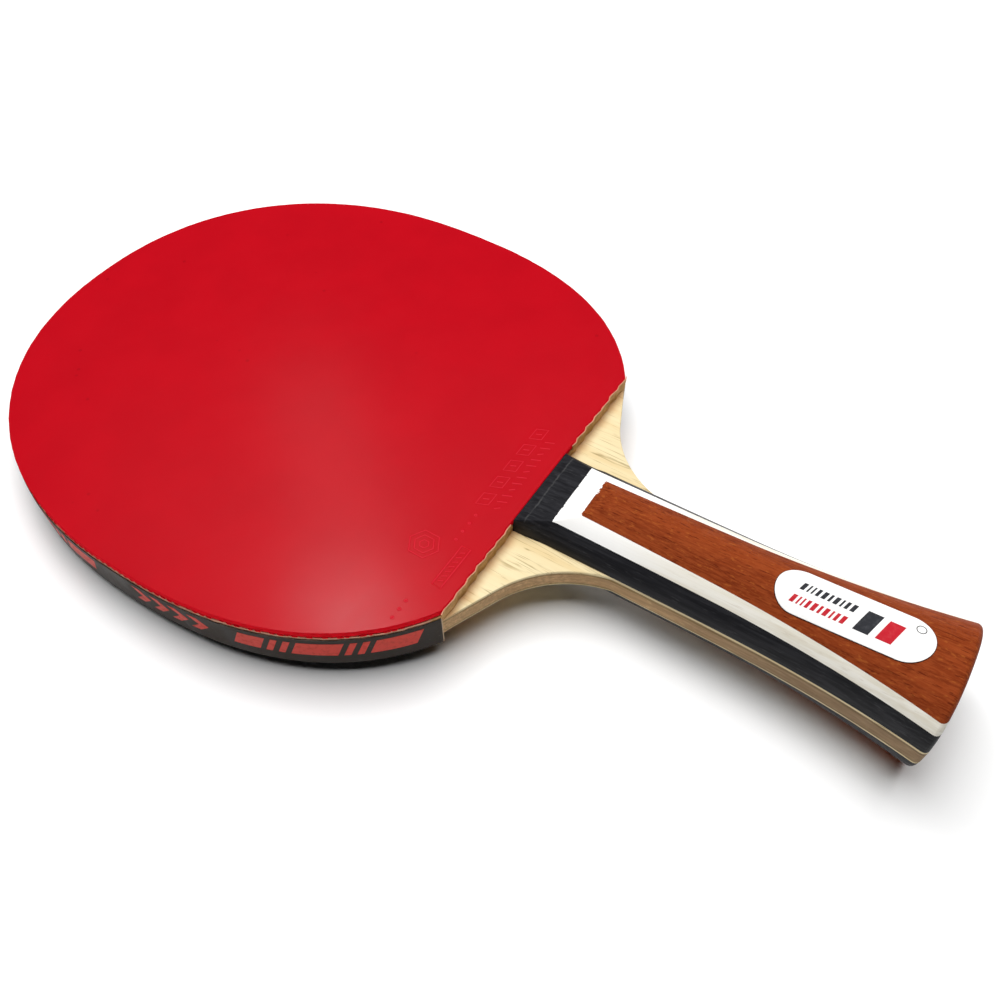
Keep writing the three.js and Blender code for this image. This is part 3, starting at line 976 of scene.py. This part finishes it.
def laminate_ring(x, bottom, top, side):
    """The closed section of one laminate at x: up one wall, over the top, down the other wall."""
    inset = butt_inset(x)
    half_width = handle_half_width(x) - inset
    half_thickness = handle_half_thickness(x) - inset
    cut = front_cut_height(x)
    level = min(top, cut, half_thickness)
    exposed = cut < min(top, half_thickness)
    soften = min(CORNER_SOFTENING, (level - bottom) / 2) if exposed else 0.0

    def softened(gap, share):
        return share * soften * max(0.0, 1 - gap / soften) ** 2 if soften else 0.0

    walls, corners = [], []
    for way in (1, -1):
        power = section_power(x, way)
        least = 0.62 * section_half_width(x, bottom, way) if top > half_thickness else 0.0
        corner_y = max(section_half_width(x, level, way), least)
        corner_z = min(crown_height(x, way * corner_y), level)
        low_turn = asin((bottom / half_thickness) ** (power / 2))
        high_turn = asin(min(1.0, (corner_z / half_thickness) ** (power / 2)))
        wall = []
        for turn in spread(low_turn, high_turn, WALL_STEPS):
            y = half_width * cos(turn) ** (2 / power)
            z = half_thickness * sin(turn) ** (2 / power)
            swell = black_swell(x, z) if top == BLACK_TOP else 0.0
            wall.append((way * (y + swell - softened(level - z, 0.4)), z))
        walls.append(wall)
        corners.append(way * corner_y)
    over = []
    for y in spread(*corners, FLAT_STEPS)[1:-1]:
        gap = min(corners[0] - y, y - corners[1])
        over.append((y, min(crown_height(x, y), level) - softened(gap, 0.5)))
    return [(x, y, side * z) for y, z in walls[0] + over + walls[1][::-1]]


def black_swell(x, z):
    """The hard black layer stands a little proud of its neighbours, least at the butt and the front."""
    along = clamp((x - 0.020) / 0.040) * clamp((RAMP_LOW_X - x) / 0.003)
    over_height = max(0.0, sin(pi * (z - BLADE_HALF) / (BLACK_TOP - BLADE_HALF)))
    return BLACK_SWELL * along * along * (3 - 2 * along) * over_height ** 0.6


def last_station(bottom):
    """Where the shaped front runs down to this height."""
    if bottom >= WHITE_TOP:
        return RAMP_HIGH_X + (WHITE_TOP - bottom) / tan(RAMP_SLOPE) - 0.00004
    if bottom >= BLACK_TOP:
        return RAMP_LOW_X - 0.00004
    return HANDLE_LENGTH


def build_laminates(side, place, materials):
    layers = (
        ("black_base", BLADE_HALF, BLACK_TOP, "black_wood"),
        ("white_layer", BLACK_TOP, WHITE_TOP, "white_wood"),
        ("redwood_top", WHITE_TOP, BUTT_HALF_THICKNESS + 0.001, "red_wood"),
    )
    for layer, bottom, top, slot in layers:
        form = Form()
        form.loft([laminate_ring(x, bottom, top, side) for x in handle_stations(last_station(bottom))])
        form.piece(f"{place}_grip_{layer}", materials[slot], slot, f"{place}_handle_{layer}", crease=14)


# Label ------------

def label_place(x, y, lift):
    """A point over the crown of the handle, from label coordinates about the label's middle."""
    at_x, at_y = LABEL_X + x, LABEL_Y + y
    return at_x, at_y, crown_height(at_x, at_y) + LABEL_LIFT + lift


def build_label_layer(name, material, grow, lift, *stands_for):
    """A rounded strip lying on the crown, grown outwards from the label's outline."""
    flank = LABEL_HALF_LENGTH - LABEL_HALF_WIDTH
    radius = LABEL_HALF_WIDTH + grow
    stations = [-flank - radius * cos(turn) for turn in spread(0, pi / 2, 16)]
    stations += spread(-flank, flank, 24)[1:]
    stations += [flank + radius * sin(turn) for turn in spread(0, pi / 2, 16)][1:]
    loops = []
    for x in stations:
        past = max(0.0, abs(x) - flank)
        half = sqrt(max(0.0, radius ** 2 - past ** 2))
        across = spread(-half, half, 16)
        above = [label_place(x, y, lift) for y in across]
        below = [label_place(x, y, -LABEL_LIFT - 0.00004) for y in reversed(across)]
        loops.append(above + below)
    form = Form()
    form.loft(loops)
    form.piece(name, material, "label", *stands_for, crease=30)


PRINT_LEAN = 0.28
STROKE_WIDTHS = (0.0009, 0.00038, 0.00038, 0.0007, 0.0009, 0.00055, 0.0009, 0.00042, 0.0007, 0.0009)
STROKE_GAP = 0.00054
RING_X = -0.0130
RING_Y = -0.0031
RING_RADII = (0.00088, 0.00106)
RING_STEPS = 24


def build_label_print(dark, red):
    """Two rows of slanted strokes, two slanted blocks and a small ring, laid out as on the label."""
    def block(form, x, top, width, bottom):
        """x grows towards the butt as the label is read, and the top leans that way."""
        shift = PRINT_LEAN * (bottom - top)
        corners = [(-x, bottom), (-x - width, bottom), (-x - width - shift, top), (-x - shift, top)]
        steps = max(2, int(width / 0.0006))
        shell(form, quad_rows(corners, steps, PRINT_STEPS), label_place, PRINT_THICKNESS)

    def stroke_row(form, x, top, bottom):
        for width in STROKE_WIDTHS:
            block(form, x, top, width, bottom)
            x += width + STROKE_GAP

    dark_form, red_form = Form(), Form()
    stroke_row(dark_form, -0.0117, -0.0021, 0.0000)
    stroke_row(red_form, -0.0126, 0.0016, 0.0035)
    block(dark_form, 0.0010, -0.0021, 0.0032, 0.0035)
    block(red_form, 0.0056, -0.0019, 0.0032, 0.0034)
    rows = []
    for step in range(RING_STEPS):
        turn = 2 * pi * step / RING_STEPS
        rows.append([(RING_X + radius * cos(turn), RING_Y + radius * sin(turn))
                     for radius in RING_RADII])
    shell(dark_form, rows, label_place, PRINT_THICKNESS, ring=True)
    dark_form.piece("label_print_dark", dark, "label")
    red_form.piece("label_print_red", red, "label")


# Scene ------------

def add_camera():
    data = bpy.data.cameras.new("camera")
    data.sensor_width = 36.0
    data.lens = CAMERA_LENS
    data.shift_x, data.shift_y = CAMERA_SHIFT
    data.clip_start, data.clip_end = 0.01, 20.0
    camera = add_object("camera", data)
    turn = (CAMERA_PLACE - CAMERA_AIM).to_track_quat("Z", "Y").to_matrix().to_4x4()
    camera.matrix_world = Matrix.Translation(CAMERA_PLACE) @ turn @ Matrix.Rotation(CAMERA_ROLL, 4, "Z")
    bpy.context.scene.camera = camera


def add_floor():
    """A round white table top, tilted to touch the back of the butt and the tip of the head."""
    butt_z = -handle_half_thickness(BUTT_ROUND)
    tilt = atan2(TAPE_BOTTOM - butt_z, HEAD_TIP_X - BUTT_ROUND)
    rim = []
    for index in range(FLOOR_CORNERS):
        turn = 2 * pi * index / FLOOR_CORNERS
        rim.append((HEAD_TIP_X / 2 + FLOOR_RADIUS * cos(turn), FLOOR_RADIUS * sin(turn), 0))
    mesh = bpy.data.meshes.new("table_top")
    mesh.from_pydata(rim, [], [range(FLOOR_CORNERS)])
    floor = add_object("table_top", mesh)
    floor.matrix_world = (Matrix.Translation((BUTT_ROUND, 0, butt_z - FLOOR_GAP))
                          @ Matrix.Rotation(-tilt, 4, "Y"))
    finish = Finish("table_top", Roughness=0.9, Specular_IOR_Level=0.0)
    shade = finish.range(finish.noise(3), 0.3, 0.7)
    mesh.materials.append(finish.paint(finish.blend(shade, (0.93, 0.93, 0.93), (0.95, 0.95, 0.95))))
    seen_from_below = finish.node("NewGeometry").outputs["Backfacing"]
    see_through = finish.node("BsdfTransparent").outputs[0]
    sides = finish.node("MixShader", {
        0: seen_from_below, 1: finish.surface.outputs[0], 2: see_through}).outputs[0]
    finish.tree.links.new(sides, finish.tree.nodes["Material Output"].inputs["Surface"])


def add_softbox(name, azimuth, elevation, distance, width, height, power, shiny):
    """A soft light aimed at the paddle. Azimuth is from +X towards +Y, in degrees."""
    data = bpy.data.lights.new(name, "AREA")
    data.shape = "RECTANGLE"
    data.size = width
    data.size_y = height
    data.energy = power
    light = add_object(name, data)
    turn, rise = radians(azimuth), radians(elevation)
    way = Vector((cos(turn) * cos(rise), sin(turn) * cos(rise), sin(rise)))
    middle = Vector((HANDLE_LENGTH * 1.25, 0, 0))
    light.matrix_world = (Matrix.Translation(middle + way * distance)
                          @ way.to_track_quat("Z", "Y").to_matrix().to_4x4())
    light.visible_glossy = shiny
    return light


def add_lights():
    """The white background is seen by the camera alone, and lights nothing."""
    world = bpy.data.worlds.new("studio")
    bpy.context.scene.world = world
    world.use_nodes = True
    background = world.node_tree.nodes["Background"]
    background.inputs["Color"].default_value = (1.0, 1.0, 1.0, 1.0)
    background.inputs["Strength"].default_value = 1.0
    world.cycles_visibility.glossy = False
    world.cycles_visibility.diffuse = False
    add_softbox("overhead", -54, 74, 1.3, 1.42, 1.42, 31.3, False)
    add_softbox("strip_lamp", -34, 61, 1.0, 0.11, 0.13, 0.42, True)
    add_softbox("strip_glow", -38, 48, 1.0, 0.12, 0.24, 0.08, True)
    underside = add_softbox("underside_fill", 0, -89, 0.8, 0.8, 0.8, 0.7, True)
    underside.data.use_shadow = False
    bpy.context.scene.view_settings.view_transform = "Standard"


SIDES = (("front", 1), ("back", -1))


def build_paddle():
    woods = {"black_wood": black_wood(), "white_wood": white_wood(), "red_wood": red_wood()}
    pale = pale_ply()
    core = edge_ply("core_wood", (0.66, 0.42, 0.215), (0.46, 0.285, 0.14), (0.82, 0.58, 0.30))
    inner = edge_ply("inner_ply_wood", (0.47, 0.32, 0.15), (0.31, 0.205, 0.09), (0.58, 0.40, 0.19))
    foam = sponge()
    build_ply("core_ply", -CORE_HALF, CORE_HALF, 0.0, core, "core_wood", "blade_core_ply")
    for place, side in SIDES:
        bottom, top = sorted((side * CORE_HALF, side * INNER_TOP))
        build_ply(f"{place}_inner_ply", bottom, top, 0.00002, inner, "inner_ply_wood",
                  f"blade_{place}_inner_ply")
    for place, side in SIDES:
        bottom, top = sorted((side * INNER_TOP, side * BLADE_HALF))
        build_ply(f"{place}_outer_ply", bottom, top, 0.0, pale, "outer_ply_wood",
                  f"blade_{place}_outer_ply", side)
    for place, side in SIDES:
        build_sponge(f"{place}_sponge_layer", side, foam, f"{place}_sponge")
    # The third colour of each rubber is the painted highlight on its raised marks.
    red = rubber("red_rubber", (0.455, 0.0036, 0.0100), (0.60, 0.020, 0.036), (0.50, 0.10, 0.10), 0.205)
    black = rubber("black_rubber", (0.0135, 0.0135, 0.0145), (0.03, 0.03, 0.03), (0.05, 0.05, 0.05), 0.26)
    # Painted light: the red cut face is painted nearly twice as light as the red sheet's own colour,
    # standing for light on the upright face.
    red_cut_face_lit = cut_rubber("red_rubber_cut_painted_light", (0.88, 0.0046, 0.0160), (0.70, 0.0030, 0.0105))
    black_cut = cut_rubber("black_rubber_cut", (0.020, 0.020, 0.021), (0.010, 0.010, 0.011))
    build_top_sheet("front_rubber_sheet", 1, red, red_cut_face_lit, "red_rubber", "front_top_sheet")
    build_top_sheet("back_rubber_sheet", -1, black, black_cut, "black_rubber", "back_top_sheet")
    build_tape(tape())
    build_tape_print(ink("tape_ink", (0.70, 0.046, 0.026), (0.46, 0.050, 0.034)))
    for place, side in SIDES:
        build_laminates(side, place, woods)
    build_label_layer("label_paper", label_paper(), 0.0, 0.0, "handle_label")
    # Painted shadow: a thin dark ring a little wider than the label stands for the contact shadow round
    # its edge.
    build_label_layer("label_shadow_rim", ink("label_shadow_ink", (0.045, 0.014, 0.010), (0.10, 0.035, 0.02)),
                      LABEL_RIM, 0.00005 - LABEL_LIFT)
    build_label_print(ink("label_ink_dark", (0.030, 0.031, 0.036), (0.075, 0.077, 0.085)),
                      ink("label_ink_red", (0.50, 0.018, 0.030), (0.55, 0.06, 0.07)))


add_camera()
add_floor()
add_lights()
build_paddle()
